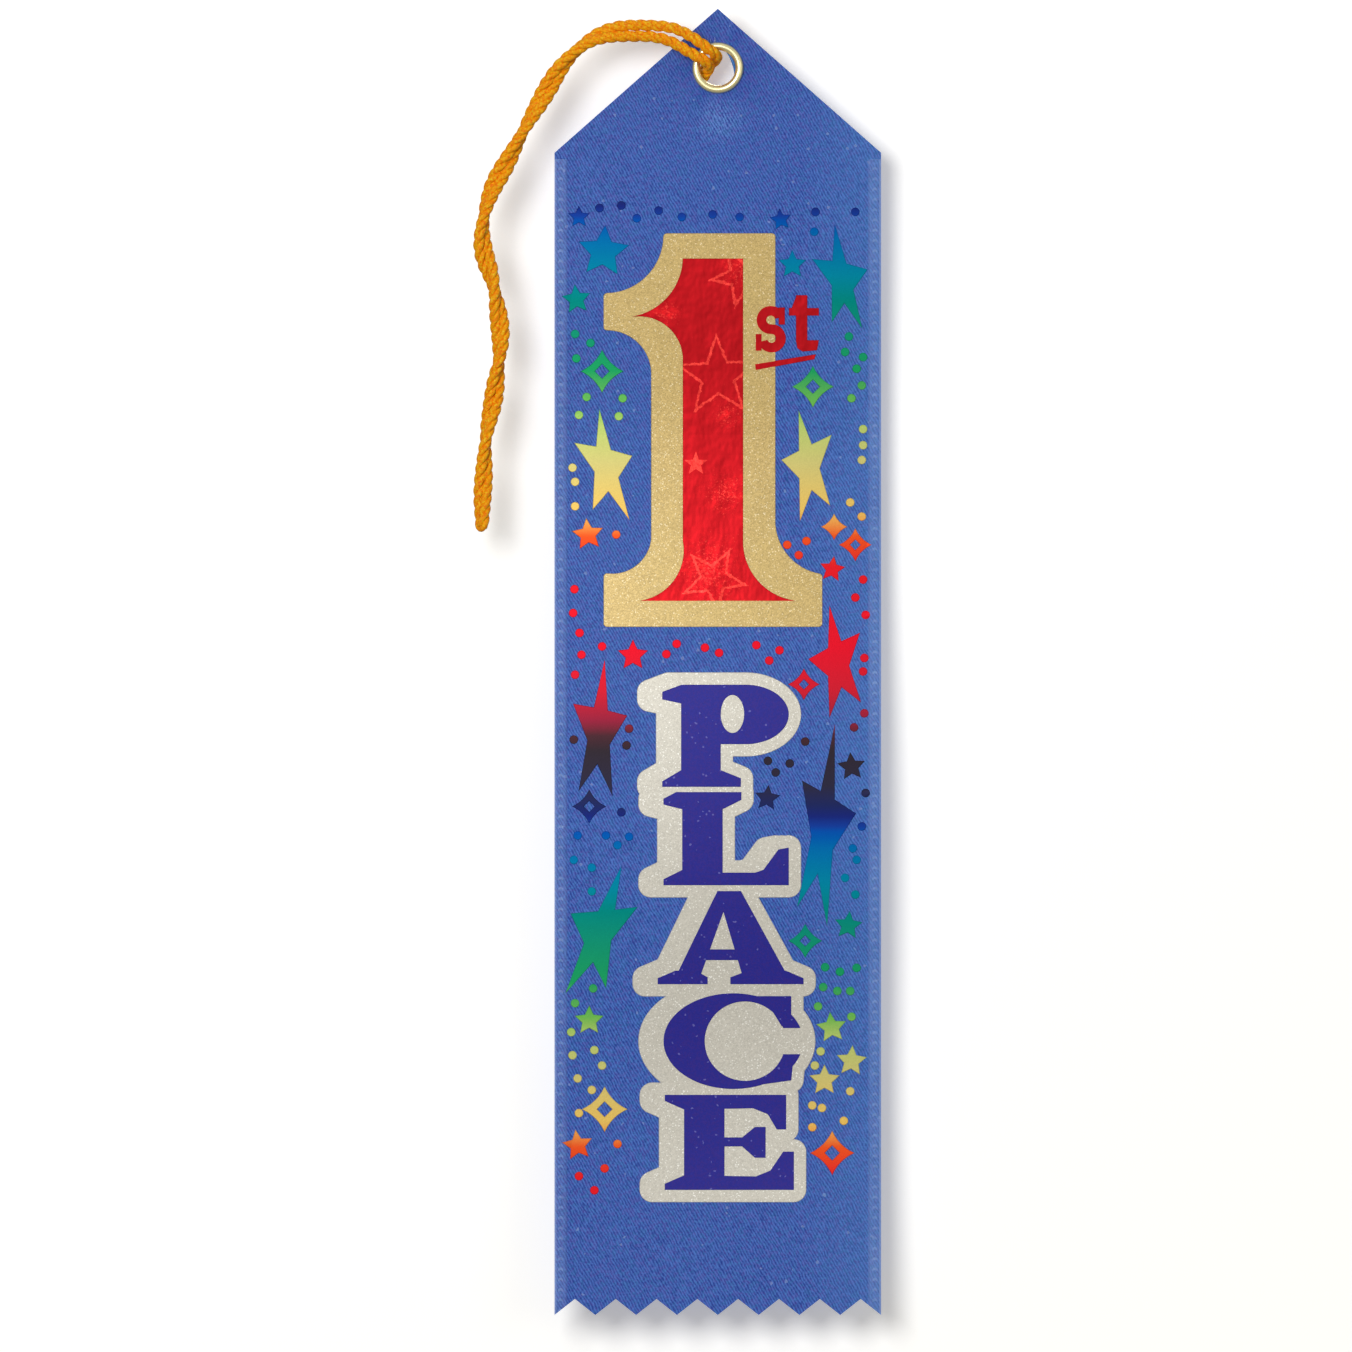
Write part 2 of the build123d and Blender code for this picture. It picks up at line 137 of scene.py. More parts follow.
def carried_frames(points):
    """A tangent and two side directions at each point, carried along without twisting."""
    frames = []
    side = None
    for k in range(len(points)):
        before = points[max(k - 1, 0)]
        after = points[min(k + 1, len(points) - 1)]
        tangent = (after - before).normalized()
        if side is None:
            side = tangent.orthogonal()
        side = (side - tangent * side.dot(tangent)).normalized()
        frames.append((tangent, side, tangent.cross(side)))
    return frames


def tube(points, radii, sides):
    """Vertices and faces of a closed round tube through the points, with one radius at each."""
    vertices = []
    faces = []
    for point, radius, (_, side, up) in zip(points, radii, carried_frames(points)):
        for k in range(sides):
            angle = 2 * pi * k / sides
            vertices.append(point + radius * (cos(angle) * side + sin(angle) * up))
    for ring in range(len(points) - 1):
        start = ring * sides
        for k in range(sides):
            turn = (k + 1) % sides
            faces.append((start + k, start + turn, start + sides + turn, start + sides + k))
    faces.append(tuple(reversed(range(sides))))
    last = (len(points) - 1) * sides
    faces.append(tuple(range(last, last + sides)))
    return vertices, faces


def add_mesh(vertices, faces, more_vertices, more_faces):
    """Add one more closed mesh to a list of vertices and a list of faces."""
    faces += [tuple(len(vertices) + index for index in face) for face in more_faces]
    vertices += more_vertices


PLIES = 3
LAY = 5.2 * MM                    # one full turn of a ply
PLY_OFFSET = 0.45 * MM
PLY_RADIUS = 0.47 * MM
PLY_SLUB = 0.10                   # how much a ply's thickness goes up and down along it
SLUB_LENGTH = 1.7 * MM            # the waves of thickness are 2 pi times this long


def twisted_strand(points, start_angle=0.0, size=1.0, sides=10):
    """Three plies laid round a line, each a little thicker and thinner along its length."""
    vertices = []
    faces = []
    along = distances(points)
    frames = carried_frames(points)
    for ply in range(PLIES):
        middle = []
        radii = []
        for point, distance, (_, side, up) in zip(points, along, frames):
            angle = start_angle + 2 * pi * (distance / LAY + ply / PLIES)
            middle.append(point + PLY_OFFSET * size * (cos(angle) * side + sin(angle) * up))
            radii.append(PLY_RADIUS * size * (1 + PLY_SLUB * sin(distance / SLUB_LENGTH + 2 * ply)))
        add_mesh(vertices, faces, *tube(middle, radii, sides))
    return vertices, faces


PAIR_OFFSET_START = 0.87 * MM     # from the pair's middle line to each leg, where the legs meet
PAIR_OFFSET = 0.66 * MM           # and where they lie twisted
PAIR_OFFSET_END = 0.56 * MM
PARALLEL = 8.5 * MM               # the legs run side by side this far before they start to twist
HALF_TWIST = 12.6 * MM
UNEVEN_TWIST = 0.35               # radians by which the twist runs ahead and behind
SETTLE = 12 * MM                  # the legs close up over this length from where they meet
CLOSE_AT_END = 25 * MM            # and again over this length before the fold
FOLD_STEPS = 9


def pair_offset(distance, length, tangent):
    """Where the upper leg lies from the pair's middle line."""
    in_picture = Vector((tangent.z, 0, -tangent.x)).normalized()
    to_viewer = tangent.cross(in_picture)
    turned = distance - PARALLEL * (1 - exp(-distance / PARALLEL))
    uneven = UNEVEN_TWIST * sin(distance / (9 * MM)) * smooth_step(0, 10 * MM, distance)
    angle = pi * turned / HALF_TWIST + uneven
    settle = smooth_step(0, SETTLE, distance)
    near_end = smooth_step(length - CLOSE_AT_END, length, distance)
    radius = PAIR_OFFSET_START + settle * (PAIR_OFFSET - PAIR_OFFSET_START)
    radius += near_end * (PAIR_OFFSET_END - PAIR_OFFSET)
    return radius * (cos(angle) * in_picture + sin(angle) * to_viewer)


def cord_path():
    """One line along the whole cord: from the knot out along one leg, round the fold and back."""
    pair = read_spline(LOOP_ROUTE)
    along = distances(pair)
    outward = []
    homeward = []
    for point, distance, (tangent, _, _) in zip(pair, along, carried_frames(pair)):
        offset = pair_offset(distance, along[-1], tangent)
        outward.append(point + offset)
        homeward.append(point - offset)
    tip = pair[-1]
    tangent = (tip - pair[-2]).normalized()
    offset = outward[-1] - tip
    angles = [pi * k / FOLD_STEPS for k in range(1, FOLD_STEPS)]
    fold = [tip + cos(angle) * offset + sin(angle) * offset.length * tangent for angle in angles]
    upper = read_spline(UPPER_LEG_ROUTE)
    lower = read_spline(LOWER_LEG_ROUTE)
    return upper[:0:-1] + outward + fold + homeward[::-1] + lower[1:]


path = cord_path()
cord_vertices, cord_faces = twisted_strand(path)
cord = mesh_object("cord", cord_vertices, cord_faces)


KNOT_STEPS = 90
KNOT_REACH = 0.62                 # size of the knot's loops, in mm
KNOT_DEPTH = 1.15                 # half its depth, front to back, in mm
KNOT_OPEN = 0.42                  # radians left open at the start and end of the line
STRAND_OFFSET = 0.42              # from the knot's middle line to each of its two strands, in mm
STRAND_SIZE = 0.88                # pulled tight, the cord is thinner here
TAIL_STEPS = 21
TAIL_STEP = 0.2 * MM
TAIL_BEND = 5 * MM                # the larger, the straighter the cut ends


def knot_line():
    """Middle line of an overhand knot, in millimetres, before it is placed."""
    points = []
    for k in range(KNOT_STEPS + 1):
        t = KNOT_OPEN + (2 * pi - 2 * KNOT_OPEN) * k / KNOT_STEPS
        points.append(Vector((
            KNOT_REACH * (cos(t) - 2 * cos(2 * t)),
            KNOT_DEPTH * sin(3 * t),
            KNOT_REACH * (sin(t) + 2 * sin(2 * t)),
        )))
    return points


def make_knot():
    """The two ends of the cord, knotted together and cut off short."""
    low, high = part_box("cord_knot")
    centre = (low + high) / 2
    line = knot_line()
    vertices = []
    faces = []
    frames = carried_frames(line)
    for strand, sign in enumerate((-1, 1)):
        middle = []
        for point, (_, side, _) in zip(line, frames):
            middle.append(centre + MM * (point + STRAND_OFFSET * sign * side))
        end = middle[-1]
        out = (end - middle[-2]).normalized()
        tail_turn = Vector((0.2, 0.35 * sign, -0.5))
        for k in range(1, TAIL_STEPS + 1):
            step = TAIL_STEP * k
            middle.append(end + step * out + step * step / TAIL_BEND * tail_turn)
        tied = twisted_strand(middle, start_angle=2.0 * strand, size=STRAND_SIZE, sides=8)
        add_mesh(vertices, faces, *tied)
    return mesh_object("knot", vertices, faces)


knot = make_knot()


# ---------------------------------------------------------------- the cloth's shape
SWAY = 1.5 * MM                   # the strip's slow wave, front to back
RIPPLE = 0.5 * MM                 # and a quicker one
CUP = 0.8 * MM                    # how far its edges stand from its middle
LEAN = 0.7 * MM                   # and one edge in front of the other
CURL = 2.6 * MM                   # how far the bottom curls forward
CURL_START = 0.72                 # share of the way down


def drape(x, z):
    """How far the cloth stands behind its flat CAD place. It is flat at the eyelet."""
    from_eyelet = hypot(x, z)
    free = smooth_step(7 * MM, 60 * MM, from_eyelet)
    down = (cloth_high.z - z) / STRIP
    across = x / HALF_WIDTH
    sway = SWAY * sin(2 * pi * (0.92 * down + 0.06)) + RIPPLE * sin(2 * pi * (2.3 * down + 0.3))
    cup = CUP * across * across * (0.4 + 0.6 * sin(2 * pi * (0.7 * down + 0.1)))
    lean = LEAN * across * sin(2 * pi * (0.8 * down + 0.55))
    curl = -CURL * smooth_step(CURL_START, 1.0, down) * (down - CURL_START) / (1 - CURL_START)
    return free * (sway + cup + lean + curl + 0.5 * MM)


PUCKER = 0.10 * MM                # height of the wrinkles round the eyelet


def pucker(x, z):
    """Small radial wrinkles that setting the eyelet leaves in the cloth round it."""
    r = hypot(x, z)
    near = smooth_step(RIM_RADIUS + 5.5 * MM, RIM_RADIUS + 0.2 * MM, r)
    angle = atan2(z, x)
    folds = cos(7 * angle + 0.8) + 0.5 * cos(11 * angle + 2.1)
    inside = smooth_step(RIM_RADIUS - 0.9 * MM, RIM_RADIUS + 0.5 * MM, r)
    return PUCKER * folds * near * inside


SELVEDGE = 2.0 * MM               # width of the woven edge bands
SELVEDGE_RISE = 0.07 * MM
SELVEDGE_TOP = -14.2 * MM         # the bands start below the point's corners
CLOTH_GRID = 0.8 * MM             # spacing of the cuts that let the cloth and the foils bend
FOIL_GRID = 3.17 * MM
OFF_GRID = 0.001 * MM             # keeps the cuts off corners that lie on round numbers


def selvedge_rise(x, z):
    """How much thicker than the plain cloth the woven edge band is, on each face."""
    inward = HALF_WIDTH - abs(x)
    band = 1 - smooth_step(SELVEDGE - 0.3 * MM, SELVEDGE, inward)
    edge = smooth_step(0, 0.3 * MM, inward)
    return SELVEDGE_RISE * band * edge * smooth_step(SELVEDGE_TOP + 1 * MM, SELVEDGE_TOP - 1 * MM, z)


def bulge(point):
    """Where a point of the flat CAD shape goes on the draped cloth."""
    x, y, z = point
    thicker = selvedge_rise(x, z) * (1 if y > 0 else -1)
    return Vector((x, y + drape(x, z) + pucker(x, z) + thicker, z))


SAME_PLACE = 0.002 * MM           # corners this close together are one corner
ON_CUT = 0.0001 * MM              # and corners this close to a cut lie on it


def cut_across(bm, axis, place):
    """Cut every face that crosses one plane of constant x (axis 0) or constant z (axis 2)."""
    middle = Vector((0, 0, 0))
    normal = Vector((0, 0, 0))
    middle[axis] = place
    normal[axis] = 1
    geometry = bm.verts[:] + bm.edges[:] + bm.faces[:]
    bmesh.ops.bisect_plane(bm, geom=geometry, plane_co=middle, plane_no=normal, dist=ON_CUT)


def cut_grid(bm, pitch):
    """Cut the mesh along an even grid, so that it can bend."""
    for axis in (0, 2):
        places = [vertex.co[axis] for vertex in bm.verts]
        for k in range(ceil(min(places) / pitch), int(max(places) // pitch) + 1):
            cut_across(bm, axis, k * pitch + OFF_GRID)


def clean_copy(node):
    """A bmesh copy of a CAD node with its split corners joined."""
    bm = bmesh.new()
    bm.from_mesh(nodes[node].data)
    bmesh.ops.remove_doubles(bm, verts=bm.verts, dist=SAME_PLACE)
    return bm


def mesh_from(bm, name, smooth=True):
    mesh = bpy.data.meshes.new(name)
    bm.to_mesh(mesh)
    bm.free()
    mesh.polygons.foreach_set("use_smooth", [smooth] * len(mesh.polygons))
    mesh.update()
    return link(bpy.data.objects.new(name, mesh))


def make_cloth():
    bm = clean_copy("satin_ribbon")
    bmesh.ops.dissolve_limit(bm, angle_limit=radians(1), verts=bm.verts, edges=bm.edges)
    cut_grid(bm, CLOTH_GRID)
    for inward in (0.15 * MM, 0.3 * MM, SELVEDGE - 0.3 * MM, SELVEDGE - 0.15 * MM, SELVEDGE):
        cut_across(bm, 0, HALF_WIDTH - inward)
        cut_across(bm, 0, inward - HALF_WIDTH)
    for vertex in bm.verts:
        vertex.co = bulge(vertex.co)
    cloth = mesh_from(bm, "cloth")
    cloth.data.set_sharp_from_angle(angle=radians(50))
    return cloth


cloth = make_cloth()


def arc_point(radius, degrees, y):
    return Vector((radius * cos(radians(degrees)), y, radius * sin(radians(degrees))))


def make_frays():
    """Cut thread ends that stick out from under the eyelet's rim, at its upper left."""
    vertices = []
    faces = []
    for k in range(11):
        degrees = 96 + 4.6 * k + 2.5 * sin(3.7 * k)
        reach = (0.55 + 0.4 * sin(2.3 * k + 1) ** 2) * MM
        height = (0.16 + 0.12 * (k % 3)) * MM
        start = arc_point(RIM_RADIUS - 0.25 * MM, degrees, FRONT - 0.08 * MM)
        end = arc_point(RIM_RADIUS + reach, degrees + 5 * sin(5.1 * k), FRONT - height)
        arch = Vector((0.06 * cos(2.9 * k), -0.08, 0.06 * sin(1.7 * k)))
        middle = (start + end) / 2 + MM * arch
        add_mesh(vertices, faces, *tube([start, middle, end], [0.05 * MM, 0.045 * MM, 0.02 * MM], 6))
    return mesh_object("frays", vertices, faces)


def make_hole_edge():
    """A thread of the cloth's cut edge that shows inside the eyelet, along the right of its bore."""
    steps = 16
    line = []
    radii = []
    for k in range(steps + 1):
        share = k / steps
        thickness = 0.03 * MM + 0.22 * MM * sin(pi * share)
        line.append(arc_point(BORE_RADIUS - 0.85 * thickness, 60 - 80 * share, BACK + 0.3 * MM))
        radii.append(thickness)
    return mesh_object("hole_edge", *tube(line, radii, 8))


frays = make_frays()
hole_edge = make_hole_edge()


# ---------------------------------------------------------------- printed foils
LONGEST_MITRE = 2.5               # sharp tips move out by no more than this many times the step
BORDER_FLANGE = 0.08 * MM         # how far the foot of each kind of print stands out past its top
FOIL_FLANGE = 0.05 * MM


def outward_step(vertex):
    """The step that moves an outline corner out by one unit square to both of its sides."""
    sides = []
    for face in vertex.link_faces:
        if abs(face.normal.y) < 0.5 and all(face.normal.dot(side) < 0.9999 for side in sides):
            sides.append(face.normal.copy())
    if not sides:
        return Vector((0, 0, 0))
    outward = sum(sides, Vector((0, 0, 0)))
    outward.y = 0
    outward.normalize()
    return outward * min(1 / max(outward.dot(sides[0]), 0.01), LONGEST_MITRE)


def make_foil(node, flange):
    """A CAD foil laid on the draped cloth, with its sides sloping out to a wider foot."""
    bm = clean_copy(node)
    bm.normal_update()
    base = max(vertex.co.y for vertex in bm.verts)
    foot = [vertex for vertex in bm.verts if vertex.co.y > base - SAME_PLACE]
    steps = [outward_step(vertex) for vertex in foot]
    for vertex, step in zip(foot, steps):
        vertex.co += flange * step
    cut_grid(bm, FOIL_GRID)
    for vertex in bm.verts:
        vertex.co = bulge(vertex.co)
    piece = mesh_from(bm, "print_" + node, smooth=False)
    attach(piece, "ribbon")
    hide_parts(node)
    return piece


RED_NODES = ("numeral", "suffix_s", "suffix_t", "suffix_underline")
LETTER_NODES = ("letter_p", "letter_l", "letter_a", "letter_c", "letter_e")
RAINBOW_NODES = ("crooked_stars", "small_stars", "solid_sparkle", "outlined_sparkles", "foil_dots")

gold_print = make_foil("numeral_border", BORDER_FLANGE)
silver_print = make_foil("letter_border", BORDER_FLANGE)
red_prints = [make_foil(node, FOIL_FLANGE) for node in RED_NODES]
letter_prints = [make_foil(node, FOIL_FLANGE) for node in LETTER_NODES]
rainbow_prints = [make_foil(node, BORDER_FLANGE) for node in RAINBOW_NODES]


# ---------------------------------------------------------------- materials
class Shader:
    """A material whose Principled shader's sockets are set by name, with helpers that add nodes."""

    def __init__(self, name, **values):
        self.material = bpy.data.materials.new(name)
        self.material.use_nodes = True
        self.tree = self.material.node_tree
        self.principled = self.tree.nodes["Principled BSDF"]
        for socket, value in values.items():
            self.principled.inputs[socket.replace("_", " ")].default_value = value
        coordinates = self.tree.nodes.new("ShaderNodeTexCoord")
        self.position = self.multiplied(coordinates.outputs["Object"], (1 / MM,) * 3)

    def node(self, kind, **inputs):
        """A new node with its inputs set or linked, each given by name, or by number as in0, in1..."""
        node = self.tree.nodes.new("ShaderNode" + kind)
        for name, value in inputs.items():
            key = int(name[2:]) if name.startswith("in") else name
            self.put(node.inputs[key], value)
        return node

    def put(self, socket, value):
        if isinstance(value, bpy.types.NodeSocket):
            self.tree.links.new(value, socket)
        else:
            socket.default_value = value

    def math(self, operation, a, b=0.0, c=0.0):
        node = self.node("Math", in0=a, in1=b, in2=c)
        node.operation = operation
        return node.outputs[0]

    def times(self, a, b):
        return self.math("MULTIPLY", a, b)

    def plus(self, a, b):
        return self.math("ADD", a, b)

    def minus(self, a, b):
        return self.math("SUBTRACT", a, b)

    def times_plus(self, a, b, c):
        """a times b, plus c."""
        return self.math("MULTIPLY_ADD", a, b, c)

    def above(self, value, limit):
        """1 where the value is above the limit, and 0 elsewhere."""
        return self.math("GREATER_THAN", value, limit)

    def below(self, value, limit):
        return self.math("LESS_THAN", value, limit)

    def larger(self, a, b):
        return self.math("MAXIMUM", a, b)

    def clamped(self, value):
        """The value, kept from 0 to 1."""
        return self.math("MINIMUM", self.larger(value, 0.0), 1.0)

    def multiplied(self, vector, factors):
        node = self.node("VectorMath", in0=vector, in1=factors)
        node.operation = "MULTIPLY"
        return node.outputs[0]

    def scaled(self, x, y, z):
        """Position in millimetres, times a factor on each axis."""
        return self.multiplied(self.position, (x, y, z))

    def axes(self):
        """x, y and z in millimetres."""
        return self.node("SeparateXYZ", in0=self.position).outputs

    def distance(self, x, z, radius):
        """How far a point of the print's plane is from (x, z), as a share of the radius."""
        node = self.node("VectorMath", in0=self.scaled(1.0, 0.0, 1.0), in1=(x, 0.0, z))
        node.operation = "DISTANCE"
        return self.math("DIVIDE", node.outputs["Value"], radius)

    def noise(self, vector, scale, detail=2.0, roughness=0.5):
        node = self.node("TexNoise", Vector=vector, Scale=scale, Detail=detail, Roughness=roughness)
        return node.outputs["Fac"]

    def cells(self, scale):
        """Three random numbers, the same all over each small cell of space."""
        cells = self.node("TexVoronoi", Vector=self.position, Scale=scale)
        return self.node("SeparateColor", in0=cells.outputs["Color"]).outputs

    def ramp(self, value, stops):
        node = self.node("ValToRGB", Fac=value)
        ramp = node.color_ramp
        while len(ramp.elements) < len(stops):
            ramp.elements.new(1.0)
        for element, (place, colour) in zip(ramp.elements, stops):
            element.position = place
            element.color = (*colour, 1.0)
        return node.outputs["Color"]

    def mix(self, factor, a, b):
        """Colour a where the factor is 0, and colour b where it is 1."""
        node = self.tree.nodes.new("ShaderNodeMix")
        node.data_type = "RGBA"
        for socket, value in ((node.inputs[0], factor), (node.inputs[6], a), (node.inputs[7], b)):
            if isinstance(value, tuple):
                value = (*value, 1.0)
            self.put(socket, value)
        return node.outputs[2]

    def over(self, base, mask, strength, colour):
        """The base with a colour laid over it where the mask is, at some strength."""
        return self.mix(self.times(mask, strength), base, colour)

    def bump(self, height, distance, strength):
        return self.node("Bump", Height=height, Distance=distance, Strength=strength).outputs[0]

    def set(self, socket, value):
        self.put(self.principled.inputs[socket], value)


def linear(red, green, blue):
    """A colour given as it is seen, 0 to 255, as the linear values that shaders take."""
    return tuple(((c / 255 + 0.055) / 1.055) ** 2.4 if c > 10 else c / 3295 for c in (red, green, blue))


TWILL = 0.50                      # mm from one twill line to the next, across the strip
RUNG = 1.6                        # mm from one selvedge mark to the next
BLACK = (0.0, 0.0, 0.0)
WHITE = (1.0, 1.0, 1.0)


def satin_weave(s, x, z, broken):
    """Height of the threads: steep twill lines that wander and break up, and faint cross threads."""
    wander = s.noise(s.scaled(0.5, 0.5, 0.5), 1.0, 2.0)
    slant = s.plus(s.times(x, 2 * pi / TWILL), s.times(z, 3.6 / TWILL))
    slant = s.times_plus(wander, 9.0, slant)
    twill = s.times_plus(s.math("SINE", slant), 0.5, 0.5)
    threads = s.noise(s.scaled(3.4, 1.0, 1.5), 1.0, 2.0, 0.75)
    picks = s.noise(s.scaled(0.5, 1.0, 4.2), 1.0, 2.0, 0.6)
    weave = s.plus(s.times(twill, 0.30), s.times(broken, 0.95))
    return s.plus(weave, s.plus(s.times(threads, 0.55), s.times(picks, 0.25)))


def satin_colour(s, x, z, weave):
    """Blue with painted sheen and painted shade: down the strip, on and between threads, and round the
    eyelet.
    """
    down = s.times_plus(z, -MM / STRIP, cloth_high.z / STRIP)
    # Lighter down the middle of the strip, darker at the point and the tips: a painted satin sheen.
    shade = s.ramp(down, [
        (0.0, linear(8, 60, 168)), (0.12, linear(14, 74, 181)), (0.35, linear(26, 83, 186)),
        (0.75, linear(18, 80, 186)), (1.0, linear(6, 70, 178)),
    ])
    from_eyelet = s.math("SQRT", s.plus(s.times(x, x), s.times(z, z)))
    # A painted shade ring round the eyelet, full out to 4 mm from its middle and gone by about 10 mm.
    eyelet_ring_shade = s.ramp(s.math("DIVIDE", from_eyelet, 12.0), [
        (0.33, WHITE), (0.46, (0.55, 0.55, 0.55)), (0.80, BLACK),
    ])
    shade = s.over(shade, eyelet_ring_shade, 0.65, linear(20, 58, 158))
    # A painted sheen in a patch just below the eyelet, which makes the threads' lit colour paler there.
    sheen_below_eyelet = s.minus(1.0, s.distance(0.3, -7.6, 4.6))
    # The weave's height picks between a painted shaded colour between the threads and a painted lit
    # colour on their tops.
    contrast = s.ramp(s.times_plus(weave, 2.3, -1.86), [(0.0, BLACK), (1.0, WHITE)])
    lit = s.mix(s.times_plus(s.larger(sheen_below_eyelet, 0.0), 0.5, 0.40), shade, linear(116, 162, 238))
    colour = s.mix(contrast, s.mix(0.62, shade, linear(4, 28, 118)), lit)
    # The painted shade ring round the eyelet again, laid over the threads.
    return s.over(colour, eyelet_ring_shade, 0.42, linear(8, 54, 162))


def satin_flecks(s, x, colour):
    """Threads that catch the light violet, teal or white, faint clouds, and a painted sheen on the right
    side.
    """
    tint = s.cells(2.6)
    colour = s.over(colour, s.above(tint[0], 0.72), 0.16, linear(110, 70, 170))
    colour = s.over(colour, s.below(tint[0], 0.2), 0.14, linear(20, 130, 170))
    colour = s.over(colour, s.above(tint[1], 0.9975), 0.3, linear(170, 190, 235))
    cloudy = s.noise(s.scaled(0.10, 0.10, 0.055), 1.0, 3.0)
    colour = s.over(colour, cloudy, 0.08, linear(90, 125, 205))
    # A painted sheen that makes the right side of the strip paler.
    sheen_towards_right = s.clamped(s.times_plus(x, 0.08, -1.0))
    return s.over(colour, sheen_towards_right, 0.16, linear(100, 165, 225))


def selvedge_marks(s, x, z, colour):
    """The colour with its paler edge bands, partly woven and partly painted sheen, and where their ladder
    of bent rungs is.
    """
    edge = s.minus(HALF_WIDTH / MM, s.math("ABSOLUTE", x))
    band = s.times(s.below(edge, SELVEDGE / MM), s.below(z, SELVEDGE_TOP / MM))
    # A painted shade line in the groove where the band steps up from the plain cloth.
    seam_shade = s.times(s.below(s.math("ABSOLUTE", s.minus(edge, 1.9)), 0.13), band)
    # A painted highlight along the very edge of the cloth.
    rim = s.times(s.below(edge, 0.28), band)
    rung_row = s.times(s.below(edge, 1.35), s.above(edge, 0.55))
    bent = s.times_plus(s.math("POWER", s.minus(edge, 0.95), 2.0), 1.6, z)
    rungs = s.above(s.math("SINE", s.times(bent, 2 * pi / RUNG)), 0.7)
    rungs = s.times(s.times(rungs, rung_row), band)
    patchy = s.noise(s.scaled(0.2, 1.0, 0.13), 1.0, 3.0, 0.7)
    # Paler edge bands: partly the woven selvedge, partly painted sheen where the edges catch the light.
    colour = s.over(colour, band, s.times(patchy, 0.34), linear(150, 175, 232))
    colour = s.over(colour, rungs, s.times(patchy, 0.5), linear(160, 190, 242))
    # The painted shade line along each band's inner edge.
    colour = s.over(colour, seam_shade, 0.22, linear(24, 52, 140))
    # The painted highlight goes along the cut edge last.
    return s.over(colour, rim, 0.35, linear(165, 188, 238)), rungs


def satin_material():
    """Blue satin: steep twill, uneven threads, and paler ladder-marked selvedges."""
    s = Shader("satin", Sheen_Weight=0.03, Sheen_Roughness=0.4, Specular_IOR_Level=0.22)
    x, _, z = s.axes()
    broken = s.noise(s.scaled(2.6, 1.0, 2.2), 1.0, 3.0, 0.8)
    weave = satin_weave(s, x, z, broken)
    colour = satin_flecks(s, x, satin_colour(s, x, z, weave))
    colour, rungs = selvedge_marks(s, x, z, colour)
    s.set("Base Color", colour)
    s.set("Roughness", s.times_plus(broken, 0.25, 0.42))
    s.set("Normal", s.bump(s.plus(weave, s.times(rungs, 0.6)), 0.05 * MM, 0.7))
    return s.material


def thread_material(name, colour):
    """One loose satin thread: plain colour with fine fibres along it."""
    s = Shader(name, Roughness=0.4, Sheen_Weight=0.2)
    fibres = s.noise(s.position, 12.0, 2.0)
    s.set("Base Color", s.over(colour, fibres, 0.5, linear(60, 100, 200)))
    s.set("Normal", s.bump(fibres, 0.02 * MM, 0.5))
    return s.material


def glitter_material(name, dark, light, glint):
    """Fine glitter flakes in a clear binder."""
    s = Shader(name, Roughness=0.42, Metallic=0.30, Coat_Weight=0.1, Coat_Roughness=0.3)
    value = s.cells(6.5)
    tone = s.noise(s.position, 0.35, 2.0)
    colour = s.mix(value[0], dark, light)
    colour = s.over(colour, tone, 0.35, light)
    bright = s.above(value[1], 0.955)
    colour = s.over(colour, bright, 0.55, glint)
    s.set("Base Color", colour)
    s.set("Normal", s.bump(s.plus(value[2], s.times(tone, 0.5)), 0.02 * MM, 0.4))
    return s.material


def star_reach(s, star):
    """How far outside (+) or inside (-) a five-pointed star's outline a point is, in millimetres."""
    middle_x, middle_z, radius, turn = star
    x, _, z = s.axes()
    dx = s.minus(x, middle_x)
    dz = s.minus(z, middle_z)
    angle = s.plus(s.math("ARCTAN2", dz, dx), turn + 4 * pi)
    sector = s.times(s.math("PINGPONG", s.math("DIVIDE", angle, 2 * pi / 5), 0.5), 2 * pi / 5)
    reach = s.math("SQRT", s.plus(s.times(dx, dx), s.times(dz, dz)))
    tip = Vector((radius, 0))
    dip = STAR_WAIST * radius * Vector((cos(pi / 5), sin(pi / 5)))
    outward = Vector((dip.y - tip.y, tip.x - dip.x)).normalized()
    side = s.plus(s.times(s.math("COSINE", sector), outward.x),
                  s.times(s.math("SINE", sector), outward.y))
    return s.minus(s.times(reach, side), outward.dot(tip))


STAR_LINE = 0.19                  # mm on each side of a star's outline
STAR_WAIST = 0.42                 # the inner corners' share of the radius


def star_line(s, star):
    """The outline of a star, a little uneven as a stamped mark is."""
    uneven = s.times_plus(s.noise(s.position, 1.5, 3.0, 0.7), 0.8, -0.4)
    return s.below(s.math("ABSOLUTE", s.plus(star_reach(s, star), uneven)), STAR_LINE)


def star_fill(s, star):
    return s.below(star_reach(s, star), 0.0)


RED_STARS = [                     # middle x and z, radius in mm, turn in radians
    (0.0, -48.0, 6.3, -pi / 2 - 0.04), (3.6, -32.4, 4.6, 0.5), (-0.6, -79.5, 4.9, -pi / 2 + 0.5),
]
RED_SPARK = (-3.4, -61.6, 1.9, -pi / 2)
# The crumpled patches are where the painted highlights and glints go, and where the bump is stronger.
RED_CREASES = [                   # middle x and z and radius in mm of the crumpled patches
    (4.0, -31.5, 5.5), (-1.5, -78.0, 8.0), (-8.0, -38.0, 3.5), (1.0, -66.0, 5.0), (1.5, -54.0, 3.5),
]


